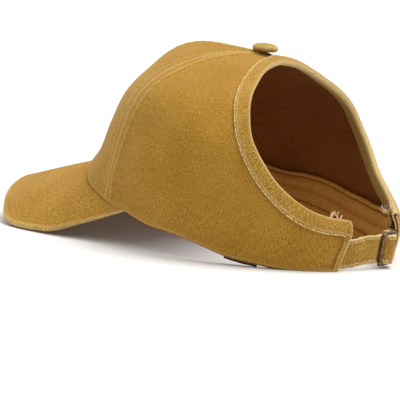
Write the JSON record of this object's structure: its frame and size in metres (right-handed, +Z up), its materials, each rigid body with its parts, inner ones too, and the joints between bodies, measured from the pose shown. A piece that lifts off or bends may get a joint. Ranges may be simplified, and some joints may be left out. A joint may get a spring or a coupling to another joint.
{
  "type": "ponytail baseball cap",
  "caption": "Washed ochre cotton baseball cap with a large hemmed rear opening for a ponytail, a curved peak and a buckled back strap.",
  "frame": {"origin": "middle of the cap's box, at the surface it rests on", "axes": "+Z up; -Y towards the peak, the front; +X the wearer's left"},
  "size_m": [0.177, 0.2632, 0.1277],
  "materials": {
    "twill": "washed cotton twill, matt",
    "hem_twill": "washed cotton twill, worn pale at its folds",
    "sweat_cotton": "cotton, quilted",
    "dark_brass": "dark aged brass",
    "label_black": "plain black satin tape"
  },
  "bodies": {
    "root": {"front_panel_left": "twill", "front_panel_right": "twill", "side_panel_left": "twill", "side_panel_right": "twill", "opening_hem": "hem_twill", "peak": "twill", "sweatband": "sweat_cotton", "strap": "hem_twill", "buckle_tab": "twill", "care_label": "label_black", "top_button": "hem_twill", "buckle": "dark_brass"}
  },
  "joints": []
}
